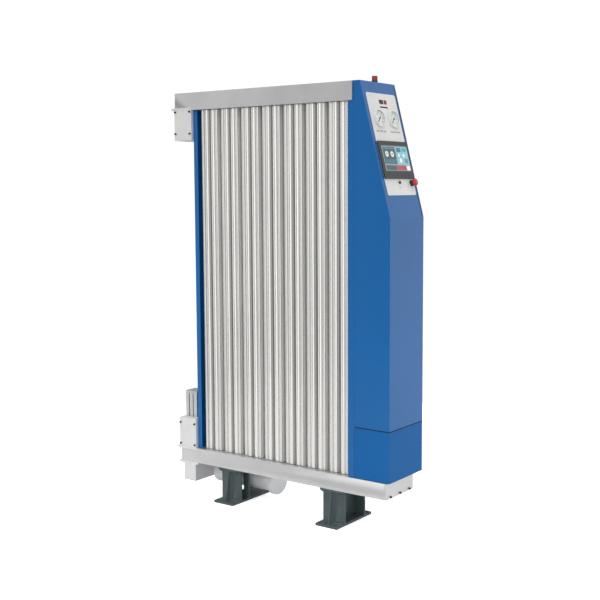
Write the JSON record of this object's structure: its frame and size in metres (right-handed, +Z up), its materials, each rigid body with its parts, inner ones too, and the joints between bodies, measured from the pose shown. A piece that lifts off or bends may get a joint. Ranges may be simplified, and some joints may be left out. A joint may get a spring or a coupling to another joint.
{
  "type": "modular compressed air dryer",
  "caption": "Free-standing compressed-air dryer: extruded desiccant columns clamped between two manifold bars, with valve blocks, silencer, pedestal feet and a control cabinet.",
  "frame": {"origin": "middle of the footprint's bounding box, on the floor under the base plates", "axes": "+X towards the control cabinet, +Y towards the back of the column bank, +Z up"},
  "size_m": [1.269, 0.334, 2.0465],
  "materials": {
    "manifold_aluminium": "fine milled and clear anodised",
    "column_aluminium": "extruded and satin anodised",
    "machined_aluminium": "milled, clear anodised",
    "plate_aluminium": "sawn plate, satin",
    "steel_zinc": "zinc plated",
    "stainless": "ground",
    "brass_valve": "turned",
    "gasket_rubber": "matt",
    "desiccant": "packed beads",
    "blue_paint": "smooth powder coat",
    "foot_paint": "satin paint",
    "silencer_paint": "satin paint",
    "panel_foil": "satin printed foil",
    "black_plastic": "fine moulded grain",
    "grey_plastic": "moulded",
    "screen": "gloss display glass",
    "gauge_case": "polished ring",
    "gauge_glass": "clear",
    "pointer_black": "matt",
    "estop_red": "moulded",
    "beacon_red": "translucent moulded",
    "tube_blue": "extruded nylon"
  },
  "bodies": {
    "frame": {"lower_manifold": "manifold_aluminium", "upper_manifold": "manifold_aluminium", "column_1": "column_aluminium", "column_2": "column_aluminium", "column_3": "column_aluminium", "column_4": "column_aluminium", "column_5": "column_aluminium", "column_6": "column_aluminium", "column_7": "column_aluminium", "column_gaskets": "gasket_rubber", "bed_strainers": "stainless", "bed_springs": "stainless", "desiccant_beds": "desiccant", "tie_rods": "steel_zinc", "tie_rod_nuts": "steel_zinc", "gallery_plugs": "machined_aluminium", "end_plate": "machined_aluminium", "end_strip": "blue_paint", "adapter_plates": "plate_aluminium", "outlet_block": "machined_aluminium", "inlet_valve_block": "machined_aluminium", "block_covers": "machined_aluminium", "actuators": "column_aluminium", "actuator_caps": "machined_aluminium", "exhaust_block": "machined_aluminium", "exhaust_bottom_cover": "plate_aluminium", "silencer_shell": "silencer_paint", "silencer_core": "stainless", "silencer_cap": "silencer_paint", "cover_screws": "steel_zinc", "foot_left": "foot_paint", "foot_right": "foot_paint", "foot_bolts": "steel_zinc", "cabinet_frame": "blue_paint", "lower_cover": "blue_paint", "cover_hinges": "steel_zinc", "mounting_plate": "steel_zinc", "controller": "grey_plastic", "pilot_valves": "black_plastic", "pilot_tubes": "tube_blue", "cable_gland": "black_plastic"},
    "cover": {"upper_cover": "blue_paint", "control_panel": "panel_foil", "screen_housing": "black_plastic", "screen_glass": "screen", "gauge_cases": "gauge_case", "gauge_lenses": "gauge_glass", "estop_base": "black_plastic", "beacon_base": "black_plastic", "beacon_lens": "beacon_red"},
    "inlet_pointer": {"gauge_pointer_inlet": "pointer_black"},
    "outlet_pointer": {"gauge_pointer_outlet": "pointer_black"},
    "button": {"start_button": "black_plastic"},
    "estop": {"estop_head": "estop_red"},
    "inlet_valve_a": {"inlet_valve_a": "stainless"},
    "inlet_valve_b": {"inlet_valve_b": "stainless"},
    "exhaust_valve_a": {"exhaust_valve_a": "stainless"},
    "exhaust_valve_b": {"exhaust_valve_b": "stainless"},
    "check_valve_a": {"check_valve_a": "brass_valve"},
    "check_valve_b": {"check_valve_b": "brass_valve"}
  },
  "joints": [
    {"name": "cover_hinge", "type": "hinge", "parent": "frame", "child": "cover", "pos_m": [0.4475, 0.1626, 1.16], "axis": [0, 0, 1], "range_deg": [0, 105]},
    {"name": "inlet_gauge_needle", "type": "hinge", "parent": "cover", "child": "inlet_pointer", "pos_m": [0.52709, -0.044, 1.85605], "axis": [-0.9673, 0, -0.2537], "range_deg": [0, 270]},
    {"name": "outlet_gauge_needle", "type": "hinge", "parent": "cover", "child": "outlet_pointer", "pos_m": [0.52709, 0.074, 1.85605], "axis": [-0.9673, 0, -0.2537], "range_deg": [0, 270]},
    {"name": "button_press", "type": "slide", "parent": "cover", "child": "button", "axis": [-0.9673, 0, -0.2537], "range_m": [0, 0.002], "stiffness_N_per_m": 800, "springref_m": -0.001},
    {"name": "estop_press", "type": "slide", "parent": "cover", "child": "estop", "axis": [-0.9673, 0, -0.2537], "range_m": [0, 0.004], "stiffness_N_per_m": 1500, "springref_m": -0.001},
    {"name": "inlet_valve_a_stroke", "type": "slide", "parent": "frame", "child": "inlet_valve_a", "axis": [0, 0, -1], "range_m": [0, 0.016]},
    {"name": "inlet_valve_b_stroke", "type": "slide", "parent": "frame", "child": "inlet_valve_b", "axis": [0, 0, 1], "range_m": [0, 0.016]},
    {"name": "exhaust_valve_a_stroke", "type": "slide", "parent": "frame", "child": "exhaust_valve_a", "axis": [0, 0, -1], "range_m": [0, 0.01], "stiffness_N_per_m": 900, "springref_m": -0.01},
    {"name": "exhaust_valve_b_stroke", "type": "slide", "parent": "frame", "child": "exhaust_valve_b", "axis": [0, 0, 1], "range_m": [0, 0.01]},
    {"name": "check_valve_a_lift", "type": "slide", "parent": "frame", "child": "check_valve_a", "axis": [0, 0, -1], "range_m": [0, 0.01], "stiffness_N_per_m": 600, "springref_m": -0.008},
    {"name": "check_valve_b_lift", "type": "slide", "parent": "frame", "child": "check_valve_b", "axis": [0, 0, -1], "range_m": [0, 0.01], "stiffness_N_per_m": 600, "springref_m": -0.008}
  ]
}
